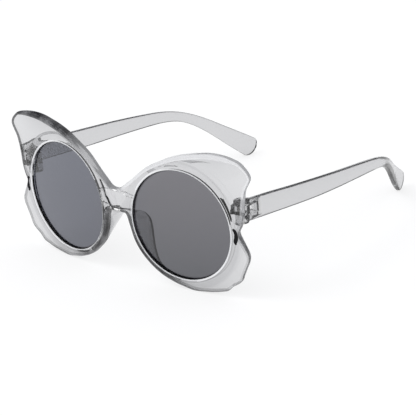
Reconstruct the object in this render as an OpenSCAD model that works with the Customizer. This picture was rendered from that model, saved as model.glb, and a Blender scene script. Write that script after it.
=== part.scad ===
// Sunglasses with a butterfly-wing front, round tinted lenses and two folding temples.
// The glasses stand open on the table: both rims and both temple tips touch z = 0.
// Millimetres. X runs across the face, Y runs back along the temples, Z points up.

/* [Lenses] */
// Diameter of each round lens opening
lens_d = 52; // [46:0.5:56]
// Gap between the two openings, measured across the nose
bridge_w = 18.2; // [15:0.2:24]
// Thickness of the tinted lens
lens_t = 1.5; // [1.2:0.1:1.7]
// Radius of the lens dome
lens_curve = 265; // [180:5:500]
// How deep the lens edge sits in the groove of the rim
lens_seat = 0.9; // [0.6:0.1:1.2]
// How far the lens edge lies behind the front face of the rim
lens_set = 1.3; // [1:0.1:1.5]
// Free play of the lens in its groove
lens_clear = 0.06; // [0.02:0.01:0.1]

/* [Front] */
// Depth of the small flat on which each rim stands
foot_flat = 0.12; // [0.06:0.02:0.3]
// Angle by which each half of the front sweeps back
wrap = 7.7; // [4:0.1:10]
// Bend radius of the bridge
bridge_bend = 40; // [25:1:60]
// Height of the bridge bar
bridge_h = 11.2; // [8:0.2:13]
// Underside of the bridge above the lens centres
bridge_lift = 1; // [0:0.2:3]
// Thickness of the bridge bar
bridge_t = 3.6; // [3:0.1:4.6]
// Width of the raised band round each lens
band_w = 4; // [3:0.2:5]
// How far the wing lies below the raised band
wing_drop = 0.5; // [0.2:0.1:0.8]
// Diameter of the opening's bevelled front edge beyond the opening itself
opening_bevel = 1.2; // [0.6:0.1:1.6]

/* [Nose pads] */
// How far the tip of a nose pad reaches behind the front face
pad_reach = 13; // [9:0.5:15]
// Thickness of a nose pad at its free edge
pad_t = 1.9; // [1.5:0.1:2.4]

/* [Temples] */
// Thickness of a temple
temple_t = 2.3; // [2:0.1:2.8]
// Height of a temple at the hinge
temple_h = 10.2; // [9:0.1:11.4]
// Distance from the hinge to the end of the temple, measured straight back
temple_len = 136.1; // [130:0.2:142]
// How far the temple's centre line falls from the hinge to the tip
temple_drop = 43.6; // [39:0.1:46]
// How far the tip turns inward
tip_in = 23.1; // [18:0.1:26]
// Roundness of the long edges of a temple
temple_round = 0.7; // [0.4:0.1:0.9]

/* [Hinges] */
// Hinge axis from the lens centre, along the front
hinge_u = 28.9; // [28.6:0.1:30.4]
// Outer radius of the hinge knuckles
knuckle_r = 2.9; // [2.6:0.1:3.1]
// Height of the middle knuckle, which belongs to the front
knuckle_h = 4.1; // [3.4:0.1:4.6]
// Height of the temple's upper knuckle above the middle of the hinge
lug_up = 3.7; // [3.6:0.1:4.6]
// Depth of the temple's lower knuckle below the middle of the hinge
lug_down = 7.2; // [6:0.1:8]
// Depth of the web behind the knuckles below the middle of the hinge
web_down = 4.3; // [4:0.1:4.5]
// Hinge centre below the centre of the temple's root
hinge_low = 0.8; // [0.4:0.1:1.2]
// Clearance between the moving faces of the hinge
hinge_gap = 0.12; // [0.1:0.01:0.2]
// Gap between the back of the front and the temple's knuckles
fold_gap = 0.4; // [0.3:0.05:0.6]
// Diameter of the hinge screw
screw_d = 1.4; // [1.2:0.1:1.6]
// Diameter of the screw head
head_d = 2.5; // [2.2:0.1:2.8]
// Height of the screw head
head_h = 0.8; // [0.6:0.1:1]
// Radial running clearance of the screw in the front's knuckle
screw_run = 0.05; // [0.02:0.01:0.08]

/* [Hidden] */

lens_r = lens_d / 2;
lens_x = (lens_d + bridge_w) / 2;
frame_grey = [0.80, 0.81, 0.82, 0.55];
lens_grey = [0.30, 0.31, 0.34, 0.85];
screw_grey = [0.62, 0.60, 0.57];

// The wing's edge, clockwise from the brow: angle at the lens centre, distance outside the
// opening, thickness there, and whether the sunken wing panel (1) or the plain rim (0) meets it.
wing_edge = [
    [151, 6.3, 3.7, 0], [144, 4.9, 3.8, 0], [136, 4.2, 3.9, 0], [124, 4.0, 4.1, 0],
    [111, 4.0, 4.2, 0], [99, 5.1, 4.4, 0.2], [90, 6.4, 4.6, 0.6], [81.5, 8.0, 4.8, 1],
    [74, 10.0, 4.8, 1], [67, 12.5, 4.8, 1], [61, 14.8, 4.7, 1], [55, 17.3, 4.4, 1],
    [50, 19.5, 3.8, 1], [46, 21.1, 3.4, 1], [42, 21.7, 3, 1], [38.4, 21.8, 2.8, 1],
    [35.6, 20.9, 2.8, 1], [33.6, 18.3, 2.8, 1], [31.6, 15.4, 2.9, 1], [27.5, 12.6, 3.2, 1],
    [21.5, 10.0, 3.4, 0.8], [14, 7.9, 3.5, 0.4], [7, 5.8, 3.5, 0.1], [1.5, 4.1, 3.5, 0],
    [-4, 5.3, 3.4, 0], [-9.5, 7.6, 3.2, 0.3], [-14.6, 9.9, 3, 0.6], [-19.2, 10.6, 2.9, 0.8],
    [-25, 10.4, 2.9, 0.8], [-31, 10.6, 2.9, 0.8], [-36, 11.2, 2.9, 0.8], [-40.5, 10.8, 2.9, 0.8],
    [-45, 9.9, 3, 0.7], [-48.5, 9.8, 3.1, 0.7], [-52.3, 9.8, 3.2, 0.6], [-57, 8.8, 3.4, 0.5],
    [-64, 7.5, 3.7, 0.3], [-73, 6.2, 3.9, 0.1], [-83, 5.4, 4, 0], [-93, 4.2, 4, 0],
    [-103, 3.6, 4, 0], [-118, 3.1, 3.9, 0], [-132, 2.7, 3.8, 0], [-144, 2.7, 3.8, 0],
    [-156, 2.7, 3.7, 0], [-167.5, 2.4, 3.7, 0], [-175, 2.9, 3.6, 0]
];
edge_steps = 3;
rim_fn = 120;
band_step = 0.5;
nose_foot = [3.0, -0.35];
brow_foot = [3.3, 0.7];
fan_pole = [-6, 6];
// The bevel round the wing: its share of the thickness and of the rim's width, the rounding of
// its middle line (width left, depth reached) and the depth of its lower line.
bevel_of_t = 0.4;
bevel_of_rim = 0.45;
bevel_middle = [0.35, 0.22];
bevel_low = 0.75;
// The rounded back edge: distance in from the outline and distance from the back.
back_round = [[0, 0.9], [0.3, 0.25], [1, 0]];
// Least distance of the band's lines from the outline, at the front, the step and the back.
band_gap = [0.5, 0.2, 0.3];

// Nose pad: angle at the lens centre, share of the full reach, radius of the free edge
// beyond the opening.
pad_line = [
    [179, 0.55, 3.0], [182.5, 0.86, 2.9], [186.5, 0.98, 2.0], [191, 1.0, 0.7],
    [197, 0.95, 0.0], [204, 0.84, -0.3], [214, 0.67, -0.1], [224, 0.50, 0.5],
    [234, 0.36, 1.4], [241, 0.31, 1.7]
];
pad_steps = 3;
pad_foot = 3.05;
pad_root = 2.1;
pad_inner = 0.4;
pad_shoulder = [0.1, 0.8, 0.3];
pad_belly = 0.15;
// Rounded free edge of a pad, in shares of its thickness: inward and forward.
pad_edge = [[0, 0.25], [0.35, 0], [0.8, 0.2]];

// Line of a temple: distance behind the hinge, share of the drop, share of the turn inward and
// share of the height at the hinge.
temple_line = [
    [-4, -0.004, 0.017, 1.004], [12, 0.043, 0.015, 0.974], [28, 0.093, 0.013, 0.922],
    [44, 0.139, 0.015, 0.869], [60, 0.180, 0.033, 0.775], [76, 0.222, 0.081, 0.664],
    [88, 0.258, 0.133, 0.570], [96, 0.296, 0.199, 0.501], [102, 0.343, 0.280, 0.473],
    [108, 0.417, 0.392, 0.505], [114, 0.516, 0.526, 0.577], [120, 0.631, 0.670, 0.695],
    [126, 0.748, 0.803, 0.839], [133, 0.879, 0.925, 0.963], [140, 1.005, 1, 1.035],
    [147, 1.125, 1.04, 1.061]
];
line_len = 135.6;
line_steps = 4;
root_y = 2.4;
tip_round = 3.4;
tip_power = 2.2;
slot_skin = 2.2;
root_out = 7;
slot_back = 1.7;
web_low = 0.4;
foot_w = 1.4;
// Outline of the front knuckle's foot, in shares of the knuckle's radius.
foot_outer = 0.7;
foot_side = [[-0.6, 0.6], [-1.03, 0], [-1.07, -0.6]];
foot_inner = -1.1;
// Outline of the temple's web, in shares of the knuckle's radius and of the root's length.
web_start = 0.8;
web_end = 0.4;
web_inner = 0.6;
head_clear = 0.05;
screw_clear = 0.01;
driver_slot = 0.38;

bend_len = bridge_bend * wrap * PI / 180;
flat_len = (lens_x - bridge_bend * sin(wrap)) / cos(wrap);
middle_u = -(flat_len + bend_len);
middle_y = -bridge_bend * (1 - cos(wrap)) - flat_len * sin(wrap);
rim_t = 3.5;
hinge_w = rim_t + fold_gap + knuckle_r;
hinge_x = lens_x + hinge_u * cos(wrap) - hinge_w * sin(wrap);
hinge_y = hinge_u * sin(wrap) + hinge_w * cos(wrap);
temple_x = hinge_x + root_out;

function blend(a, b, c, d, t) =
    ((2 * b) + (c - a) * t + (2 * a - 5 * b + 4 * c - d) * t * t
        + (3 * b - a - 3 * c + d) * t * t * t) / 2;
// A curve through knots that meets the middle plane squarely at both ends.
function mirrored_curve(k, steps) =
    let (n = len(k), m = concat([over_middle(k[1])], k, [over_middle(k[n - 2])]))
    concat(
        [for (i = [1:n - 1]) for (s = [0:steps - 1])
            blend(m[i - 1], m[i], m[i + 1], m[i + 2], s / steps)],
        [k[n - 1]]);
function open_curve(k, steps) =
    let (n = len(k))
    concat(
        [for (i = [0:n - 2]) for (s = [0:steps - 1])
            blend(k[max(i - 1, 0)], k[i], k[i + 1], k[min(i + 2, n - 1)], s / steps)],
        [k[n - 1]]);
function unit(p) = p / norm(p);

// A point of the front: u along the plate from the lens centre, v up, w behind the front face.
function on_front(u, v, w) =
    u > -flat_len
        ? [lens_x + u * cos(wrap) - w * sin(wrap), u * sin(wrap) + w * cos(wrap), lens_z + v]
        : let (a = (u - middle_u) / bridge_bend * 180 / PI)
            [(bridge_bend - w) * sin(a), middle_y + bridge_bend - (bridge_bend - w) * cos(a),
                lens_z + v];

// Edge of one half, from the top of the bridge's middle round the wing to its underside.
half_knots = concat(
    [
        [middle_u, bridge_lift + bridge_h, bridge_t, 0],
        [middle_u + brow_foot[0], bridge_lift + bridge_h + brow_foot[1], bridge_t, 0]
    ],
    [for (k = wing_edge)
        [(lens_r + k[1]) * cos(k[0]), (lens_r + k[1]) * sin(k[0]), k[2], k[3]]],
    [
        [middle_u + nose_foot[0] + 2, bridge_lift + 2 * nose_foot[1], bridge_t, 0],
        [middle_u + nose_foot[0], bridge_lift + nose_foot[1], bridge_t, 0],
        [middle_u, bridge_lift, bridge_t, 0]
    ]);
function over_middle(k) = [2 * middle_u - k[0], k[1], k[2], k[3]];
half_edge = mirrored_curve(half_knots, edge_steps);
edge_n = len(half_edge);
lens_z = -min([for (k = half_edge) k[1]]) - foot_flat;

function edge_knot(i) =
    i < 0 ? over_middle(half_edge[1])
    : i >= edge_n ? over_middle(half_edge[edge_n - 2])
    : half_edge[i];
function edge_xy(i) = [edge_knot(i)[0], edge_knot(i)[1]];
function edge_out(i) =
    let (d = edge_xy(i + 1) - edge_xy(i - 1))
    unit([-d[1], d[0]]);
function edge_bevel(i) = 
    min(bevel_of_t * half_edge[i][2], bevel_of_rim * (norm(edge_xy(i)) - lens_r));
function inset_xy(i, inset) = edge_xy(i) - edge_out(i) * inset;
function edge_point(i, inset, w) =
    let (p = inset_xy(i, inset))
    on_front(p[0], p[1], w);
// Where the ray from the fan's pole to an inset edge point crosses the circle of radius r round
// the lens centre, but always short of that point by a gap.
function band_at(i, inset, r, gap, w) =
    let (q = inset_xy(i, inset) - fan_pole, d = unit(q), b = d * fan_pole,
        s = -b + sqrt(b * b + r * r - fan_pole * fan_pole),
        p = fan_pole + d * min(s, norm(q) - gap))
    on_front(p[0], p[1], w);

// Rings of one half, from the middle of the front face over the edge to the back.
function half_ring(k) = [for (i = [0:edge_n - 1])
    let (t = half_edge[i][2], drop = wing_drop * half_edge[i][3], bev = edge_bevel(i),
        band_r = lens_r + band_w)
    k == 0 ? band_at(i, bev, band_r, band_gap[0], 0)
    : k == 1 ? band_at(i, bev, band_r + band_step, band_gap[1], drop)
    : k == 2 ? edge_point(i, bev, drop)
    : k == 3 ? edge_point(i, bev * bevel_middle[0], drop + bev * bevel_middle[1])
    : k == 4 ? edge_point(i, 0, drop + bev * bevel_low)
    : k < 8 ? edge_point(i, back_round[k - 5][0], t - back_round[k - 5][1])
    : band_at(i, back_round[2][0], band_r, band_gap[2], rim_t)];
ring_n = 9;

function turned(faces) = [for (f = faces) [for (i = [len(f) - 1:-1:0]) f[i]]];
function skin_faces(n, rings) = [for (k = [0:rings - 2]) for (i = [0:n - 1])
    each [[k * n + i, k * n + (i + 1) % n, (k + 1) * n + i],
        [k * n + (i + 1) % n, (k + 1) * n + (i + 1) % n, (k + 1) * n + i]]];

// One half of the front as a closed skin, before the opening is cut.
module half_plate() {
    points = concat(
        [for (k = [0:ring_n - 1]) each half_ring(k)],
        [on_front(fan_pole[0], fan_pole[1], 0), on_front(fan_pole[0], fan_pole[1], rim_t)]);
    front_pole = ring_n * edge_n;
    last = (ring_n - 1) * edge_n;
    faces = concat(
        [for (i = [0:edge_n - 1]) [front_pole, (i + 1) % edge_n, i]],
        skin_faces(edge_n, ring_n),
        [for (i = [0:edge_n - 1]) [front_pole + 1, last + i, last + (i + 1) % edge_n]]);
    polyhedron(points = points, faces = turned(faces), convexity = 6);
}

// Places children in the frame of the +X lens: x along the front, y backwards, z up.
module at_lens() {
    translate([lens_x, 0, lens_z])
        rotate([0, 0, wrap])
            children();
}

// A cylinder along the lens axis, from depth w0 to w1 behind the front face.
module lens_bar(r, w0, w1) {
    translate([0, w0, 0])
        rotate([-90, 0, 0])
            cylinder(r = r, h = w1 - w0, $fn = rim_fn);
}

module opening_cut() {
    at_lens() {
        lens_bar(lens_r, -rim_t, 2 * rim_t);
        lens_bar(lens_r + lens_seat + lens_clear, lens_set - lens_clear,
            lens_set + lens_t + lens_clear);
        translate([0, -opening_bevel, 0])
            rotate([-90, 0, 0])
                cylinder(r1 = lens_r + 1.5 * opening_bevel, r2 = lens_r,
                    h = 1.5 * opening_bevel, $fn = rim_fn);
    }
}

// Nose pad, a fin behind the nasal rim that leans towards the lens axis.
module nose_pad() {
    line = open_curve(pad_line, pad_steps);
    n = 8;
    function radial(a, r, w) = on_front(r * cos(a), r * sin(a), w);
    function section(p) =
        let (a = p[0], w = p[1] * pad_reach, tip = lens_r + p[2], root = lens_r + pad_root,
            inner = lens_r + pad_inner, middle_w = (rim_t + w) / 2)
        [
            radial(a, root, pad_foot),
            radial(a, root + pad_shoulder[0],
                rim_t + min(pad_shoulder[1], pad_shoulder[2] * (w - rim_t))),
            radial(a, (root + tip) / 2 + pad_belly * pad_t, middle_w),
            for (e = pad_edge) radial(a, tip - e[0] * pad_t, w - e[1] * pad_t),
            radial(a, (inner + tip - pad_t) / 2, middle_w),
            radial(a, inner, pad_foot)
        ];
    points = [for (p = line) each section(p)];
    m = len(line);
    faces = concat(
        [[for (i = [n - 1:-1:0]) i]],
        skin_faces(n, m),
        [[for (i = [0:n - 1]) (m - 1) * n + i]]);
    polyhedron(points = points, faces = turned(faces), convexity = 6);
}

// Middle knuckle of the hinge with its foot on the back of the wing.
module front_knuckle() {
    translate([hinge_x, hinge_y, hinge_z - knuckle_h / 2])
        linear_extrude(height = knuckle_h) {
            circle(r = knuckle_r, $fn = 64);
            rotate([0, 0, wrap])
                polygon([
                    [knuckle_r * foot_outer, foot_w - hinge_w], [knuckle_r * foot_outer, 0],
                    for (p = foot_side) knuckle_r * p,
                    [knuckle_r * foot_inner, foot_w - hinge_w]
                ]);
        }
}

module screw_hole(r) {
    translate([hinge_x, hinge_y, 0])
        cylinder(r = r, h = 2 * lens_z, $fn = 32);
}

module front_half() {
    difference() {
        union() {
            difference() {
                half_plate();
                opening_cut();
            }
            nose_pad();
            front_knuckle();
        }
        screw_hole(screw_d / 2 + screw_run);
        translate([0, middle_y - lens_r, -lens_r])
            cube([2 * lens_x + lens_r, 3 * lens_r, lens_r]);
    }
}

// Temple, worked out as functions of the distance y behind the hinge axis.
temple_curve = open_curve(temple_line, line_steps);
stretch = temple_len / line_len;
drop_curve = [for (k = temple_curve) [k[0] * stretch, k[1] * temple_drop]];
inward_curve = [for (k = temple_curve) [k[0] * stretch, k[2] * tip_in]];
height_curve = [for (k = temple_curve) [k[0] * stretch, k[3] * temple_h]];
function slope(y, line) = (lookup(y + 1, line) - lookup(y - 1, line)) / 2;
function drop_at(y) = lookup(y, drop_curve);
function fall_at(y) = atan(slope(y, drop_curve));
function inward_at(y) = lookup(y, inward_curve);
function inward_angle(y) = atan(slope(y, inward_curve));
function height_at(y) = lookup(y, height_curve);

tip_cos = cos(fall_at(temple_len));
tip_from = temple_len - tip_round * tip_cos;
shank_steps = 44;
// Each station holds the distance behind the hinge and the height of the section.
stations = concat(
    [for (i = [0:shank_steps])
        let (y = -root_y + (tip_from + root_y) * i / shank_steps)
        [y, height_at(y)]],
    [for (a = [20:16:84])
        [tip_from + tip_round * tip_cos * sin(a),
            height_at(tip_from) * pow(cos(a), 2 / tip_power)]]);

function section_yz(st, f) =
    let (y = st[0], b = fall_at(y), o = (f - 0.5) * st[1])
    [y + o * sin(b), -drop_at(y) + o * cos(b)];
tip_low = min([for (st = stations) section_yz(st, 0)[1]]);
root_z = -tip_low;
hinge_z = root_z - hinge_low;
lug_top = hinge_z + lug_up;
lug_bottom = hinge_z - lug_down;

// A point of the temple: f runs from the lower to the upper edge, n inward from the outer face.
function on_temple(st, f, n) =
    let (p = section_yz(st, f), a = inward_angle(p[0]))
    [temple_x - inward_at(p[0]) - n * cos(a), hinge_y + p[0] - n * sin(a), root_z + p[1]];
function temple_section(st) =
    let (r = min(temple_round, st[1] / 4), e = r / st[1], c = 0.3)
    [
        on_temple(st, e, 0), on_temple(st, 1 - e, 0), on_temple(st, 1 - e * c, r * c),
        on_temple(st, 1, r), on_temple(st, 1, temple_t - r),
        on_temple(st, 1 - e * c, temple_t - r * c), on_temple(st, 1 - e, temple_t),
        on_temple(st, e, temple_t), on_temple(st, e * c, temple_t - r * c),
        on_temple(st, 0, temple_t - r), on_temple(st, 0, r), on_temple(st, e * c, r * c)
    ];

module temple_shank() {
    n = 12;
    m = len(stations);
    points = [for (st = stations) each temple_section(st)];
    faces = concat(
        [[for (i = [n - 1:-1:0]) i]],
        skin_faces(n, m),
        [[for (i = [0:n - 1]) (m - 1) * n + i]]);
    polyhedron(points = points, faces = faces, convexity = 6);
}

// The temple's two knuckles and the web that carries them, before the slot is cut.
module temple_fork() {
    translate([hinge_x, hinge_y, lug_bottom])
        cylinder(r = knuckle_r, h = lug_top - lug_bottom, $fn = 64);
    reach = root_out - temple_t / 2 - web_low;
    back = knuckle_r + slot_back + slot_skin;
    translate([hinge_x, hinge_y, hinge_z - web_down])
        linear_extrude(height = web_down + lug_up - web_low)
            polygon([
                [0, -knuckle_r * web_start], [reach, -root_y * web_start], [reach, back],
                [knuckle_r * web_end, back], [-knuckle_r * web_inner, knuckle_r * web_inner]
            ]);
}

module temple_half() {
    slot_h = knuckle_h + 2 * hinge_gap;
    slot_x = root_out - slot_skin;
    slot_y = knuckle_r + slot_back;
    clear = hinge_w;
    difference() {
        union() {
            temple_shank();
            temple_fork();
        }
        translate([hinge_x - clear, hinge_y - clear, hinge_z - slot_h / 2])
            cube([clear + slot_x, clear + slot_y, slot_h]);
        screw_hole(screw_d / 2);
        translate([hinge_x, hinge_y, lug_top - head_h])
            cylinder(r = head_d / 2 + head_clear, h = temple_h, $fn = 32);
    }
}

module screw_half() {
    color(screw_grey)
        translate([hinge_x, hinge_y, 0]) {
            translate([0, 0, lug_bottom])
                cylinder(r = screw_d / 2 - screw_clear, h = lug_top - lug_bottom - head_h / 2,
                    $fn = 32);
            difference() {
                translate([0, 0, lug_top - head_h])
                    cylinder(r = head_d / 2, h = head_h, $fn = 32);
                translate([-head_d, -driver_slot / 2, lug_top - driver_slot])
                    cube([2 * head_d, driver_slot, head_h]);
            }
        }
}

// A domed disc between two concentric spheres, its edge in the groove of the rim.
module lens_half() {
    edge_r = lens_r + lens_seat;
    sag = lens_curve - sqrt(lens_curve * lens_curve - edge_r * edge_r);
    color(lens_grey)
        at_lens()
            intersection() {
                lens_bar(edge_r, lens_set - sag - 1, lens_set + lens_t);
                translate([0, lens_set - sag + lens_curve, 0])
                    difference() {
                        sphere(r = lens_curve, $fn = 180);
                        sphere(r = lens_curve - lens_t, $fn = 180);
                    }
            }
}

// Everything is moved back so that the origin lies under the middle of the glasses.
y_first = middle_y;
y_last = max([for (st = stations) for (p = temple_section(st)) p[1]]);
module placed() {
    translate([0, -(y_first + y_last) / 2, 0])
        children();
}
module other_side() {
    mirror([1, 0, 0])
        children();
}

module front() {
    color(frame_grey)
        placed() {
            front_half();
            other_side() front_half();
        }
}
module lens_left() { placed() lens_half(); }
module lens_right() { placed() other_side() lens_half(); }
module temple_left() { color(frame_grey) placed() temple_half(); }
module temple_right() { color(frame_grey) placed() other_side() temple_half(); }
module hinge_screw_left() { placed() screw_half(); }
module hinge_screw_right() { placed() other_side() screw_half(); }

front();
lens_left();
lens_right();
temple_left();
temple_right();
hinge_screw_left();
hinge_screw_right();
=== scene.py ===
"""Sunglasses in clear grey plastic: butterfly-wing front, round tinted lenses, folding temples."""
import math
from collections import namedtuple

import bmesh
import bpy
from mathutils import Matrix, Vector


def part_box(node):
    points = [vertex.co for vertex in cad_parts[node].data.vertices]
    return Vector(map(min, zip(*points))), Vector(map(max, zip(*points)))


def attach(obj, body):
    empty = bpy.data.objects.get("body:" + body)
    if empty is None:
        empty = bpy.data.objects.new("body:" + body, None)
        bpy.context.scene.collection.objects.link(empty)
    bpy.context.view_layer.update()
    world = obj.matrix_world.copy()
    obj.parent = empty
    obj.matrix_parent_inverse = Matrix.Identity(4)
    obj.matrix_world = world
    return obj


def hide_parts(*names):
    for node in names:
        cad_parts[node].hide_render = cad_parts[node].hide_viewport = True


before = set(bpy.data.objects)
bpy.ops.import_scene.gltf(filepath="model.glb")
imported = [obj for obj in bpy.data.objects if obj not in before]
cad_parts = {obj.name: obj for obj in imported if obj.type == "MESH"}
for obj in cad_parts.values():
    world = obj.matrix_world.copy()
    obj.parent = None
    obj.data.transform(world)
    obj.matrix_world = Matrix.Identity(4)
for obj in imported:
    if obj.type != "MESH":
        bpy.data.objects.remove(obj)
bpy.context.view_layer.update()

MM = 0.001

# Zones of the moulded faces, counted as material slots until the piece is finished.
# The zone of the openings' inner sides, a crescent at their back, the dents and the slots' ends
# carries black painted shade.
# The zone of the openings' rounded front edge carries a painted highlight; the edge zone carries
# painted shade of varying strength.
PLAIN, EDGE, PAINTED_SHADE, HIGHLIGHT_LIP, HINGE = range(5)
ZONES = {"edge": EDGE, "painted_shade": PAINTED_SHADE, "lip_highlight": HIGHLIGHT_LIP, "hinge": HINGE}

# The front and its lenses. Sizes are in millimetres, and in metres only from the materials on.
LENS_R = 26.0  # radius of the opening
LENS_X = 35.1  # from the middle to the lens centre
LENS_T = 1.5
LENS_SET = 1.3  # behind the front face
LENS_SEAT = 0.1  # how deep the lens reaches into its groove
LENS_CURVE = 265.0
LENS_EDGE_PLAY = 0.06
WRAP = math.radians(7.7)  # each half turns back by this angle
BRIDGE_BEND = 40.0  # radius on which the bridge bends
BRIDGE_H = 11.2
BRIDGE_LIFT = 1.0  # lower edge above the lens centre
BRIDGE_T = 3.6
BRIDGE_SUNK = 1.3  # share of the sunken panel's depth
BRIDGE_SIDE, BRIDGE_FOOT = -27, -4  # the outline belongs to the bridge within these
BAND_R = 30.0  # outer radius of the flat band round the opening
WING_DROP = 0.5  # depth of the sunken panel
RIM_T = 3.5  # thickness at the opening
FOOT_FLAT = 0.12  # the rims' lowest points lie this far below the table's level
FRONT_LIP = 0.38  # rounding of the opening's front edge
BACK_LIP = 0.35
BACK_ROUND = 1.2  # rounding of the outline's back edge
BEVEL_SHARE, BEVEL_LIMIT = 0.4, 0.45  # width of the wing's edge: of its thickness, of its width
BEVEL_DEEP, BEVEL_POWER = 0.75, 0.9  # its depth in shares of its width, and its curve
STEP_OUT, STEP_OUT_LOW, STEP_OUT_TOP = 4.2, -1, 8  # the step lies further out low on the bridge
POLE = Vector((-6.0, 6.0))  # from the lens centre; every column runs towards it
MIDDLE_STEPS = 24
EDGE_STEPS = 8

# Angle at the lens centre, distance outside the opening, thickness, share of the sunken panel.
WING_EDGE = [
    (151, 6.3, 3.7, 0.9), (144, 4.9, 3.8, 0.2), (136, 4.2, 3.9, 0), (124, 4.0, 4.1, 0),
    (111, 4.0, 4.2, 0), (99, 5.1, 4.4, 0.2), (90, 6.4, 4.6, 0.6), (81.5, 8.0, 4.8, 1),
    (74, 10.0, 4.8, 1), (67, 12.5, 4.8, 1), (61, 14.8, 4.7, 1), (55, 17.3, 4.4, 1),
    (50, 19.5, 3.8, 1), (46, 21.1, 3.4, 1), (42, 21.7, 3, 1), (38.4, 21.8, 2.8, 1),
    (35.6, 20.9, 2.8, 1), (33.6, 18.3, 2.8, 1), (31.6, 15.4, 2.9, 1), (27.5, 12.6, 3.2, 1),
    (21.5, 10.0, 3.4, 0.8), (14, 7.9, 3.5, 0.4), (7, 5.8, 3.5, 0.1), (1.5, 4.1, 3.5, 0),
    (-4, 5.3, 3.4, 0), (-9.5, 7.6, 3.2, 0.3), (-14.6, 9.9, 3, 0.6), (-19.2, 10.6, 2.9, 0.8),
    (-25, 10.4, 2.9, 0.8), (-31, 10.6, 2.9, 0.8), (-36, 11.2, 2.9, 0.8), (-40.5, 10.8, 2.9, 0.8),
    (-45, 9.9, 3, 0.7), (-48.5, 9.8, 3.1, 0.7), (-52.3, 9.8, 3.2, 0.6), (-57, 8.8, 3.4, 0.5),
    (-64, 7.5, 3.7, 0.3), (-73, 6.2, 3.9, 0.1), (-83, 5.4, 4, 0), (-93, 4.2, 4, 0),
    (-103, 3.6, 4, 0), (-118, 3.1, 3.9, 0), (-132, 2.7, 3.8, 0), (-144, 2.7, 3.8, 0),
    (-156, 2.7, 3.7, 0), (-167.5, 2.4, 3.7, 0), (-175, 2.9, 3.6, 0),
]
# Nose pad: angle at the lens centre, share of the full reach, free edge beyond the opening.
PAD_LINE = [
    (179, 0.55, 3.0), (182.5, 0.86, 2.9), (186.5, 0.98, 2.0), (191, 1.0, 0.7),
    (197, 0.95, 0.0), (204, 0.84, -0.3), (214, 0.67, -0.1), (224, 0.50, 0.5),
    (234, 0.36, 1.4), (241, 0.31, 1.7),
]
PAD_REACH = 13.0
PAD_T = 1.9
PAD_ROOT = 3.05  # behind the front face
# Curved dent beside the hinge: place on the face and radius.
DENT_LINE = [
    (27.6, 2.6, 0.5), (28.5, 2.1, 0.8), (29.2, 0.5, 0.95), (29.1, -1.6, 1.05),
    (28.6, -3.3, 0.95), (28.9, -4.5, 0.35),
]
DENT_DEEP = 0.6  # in shares of its radius
# Flat rings by radius and least distance from the outline: lip, face beyond it, back.
LIP_RING = (LENS_R + 0.8, 0.65)
PLAIN_RINGS = [(LENS_R + 1.6, 0.63), (LENS_R + 2.4, 0.6)]
BACK_RING = (LENS_R + 1, 0.4)
# Step down to the wing: radius, least distance from the outline, share of the panel's depth.
STEP_RINGS = [
    (BAND_R - 0.3, 0.55, 0), (BAND_R, 0.5, 0.12), (BAND_R + 0.4, 0.38, 0.5),
    (BAND_R + 0.8, 0.26, 0.88), (BAND_R + 1.1, 0.2, 1),
]
# Angles at the lens centre between which the back edge of the opening gets black painted shade, its
# front edge a wide painted highlight, and its inner side no painted shade.
SHADED_FROM, SHADED_TO = 9, 30
HIGHLIGHT_FROM, HIGHLIGHT_TO = -75, 150
CLEAR_FROM, CLEAR_TO = 5, 100

# The hinges.
HINGE_U = 28.9  # from the lens centre along the plate
KNUCKLE_R = 2.9
KNUCKLE_H = 4.1
LUG_UP = 3.7  # top of the temple's knuckles above the hinge's middle
LUG_DOWN = 7.2
WEB_DOWN = 4.3
WEB_LOW = 0.4  # the web stays this much inside the knuckles
HINGE_LOW = 0.8  # the hinge's middle lies this far below the temple's root
HINGE_GAP = 0.12
FOLD_GAP = 0.4
ROOT_OUT = 7.0  # outer face of the temple from the hinge's axis
SLOT_SKIN = 2.2  # what the slot leaves of the root
SLOT_BACK = 1.7  # how far the slot reaches behind the knuckle
SLOT_STEP = 0.15  # the slot's outer end is this much deeper
SLOT_BAR = 0.9  # over this width
FOOT_W = 1.4
FOOT_BEVEL = 0.25
KNUCKLE_BEVEL = 0.2
WEB_BEVEL = 0.3
LUG_BEVEL = 0.35
SCREW_D = 1.4
SCREW_FIT = 0.01  # play all round in the temple's knuckles
SCREW_RUN = 0.05  # play all round in the front's knuckle
HEAD_D = 2.5
HEAD_H = 0.8
DRIVER_SLOT = 0.38
GROOVES_FROM, GROOVES_TO = 0.5, 2.6  # above the screw's lower end
GROOVE_STEP = 0.3
GROOVE_DEEP = 0.1

# The temples.
TEMPLE_T = 2.3
TEMPLE_H = 10.2  # height at the hinge
TEMPLE_LEN = 136.1  # straight back from the hinge
TEMPLE_DROP = 43.6
TIP_IN = 23.1  # how far the tip turns inward
TEMPLE_ROUND = 0.7
TIP_ROUND = 3.4
TIP_POWER = 2.2
TEMPLE_STEPS = 110
ROOT_Y = 2.4  # the root reaches this far in front of the hinge's axis
LINE_LEN = 135.6  # length at which the table below was drawn
# Distance behind the hinge, share of the drop, of the turn inward and of the height.
TEMPLE_LINE = [
    (-4, -0.004, 0.017, 1.004), (12, 0.043, 0.015, 0.974), (28, 0.093, 0.013, 0.922),
    (44, 0.139, 0.015, 0.869), (60, 0.180, 0.033, 0.775), (76, 0.222, 0.081, 0.664),
    (88, 0.258, 0.133, 0.570), (96, 0.296, 0.199, 0.501), (102, 0.343, 0.280, 0.473),
    (108, 0.417, 0.392, 0.505), (114, 0.516, 0.526, 0.577), (120, 0.631, 0.670, 0.695),
    (126, 0.748, 0.803, 0.839), (133, 0.879, 0.925, 0.963), (140, 1.005, 1, 1.035),
    (147, 1.125, 1.04, 1.061),
]

# Nearer than this, in metres, points are joined: in a mesh, at the middle plane, in a sliver.
WELD, MIDDLE_WELD, SLIVER = 1e-7, 2e-6, 6e-6
SMOOTH_ANGLE = 35  # edges sharper than this stay sharp


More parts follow.
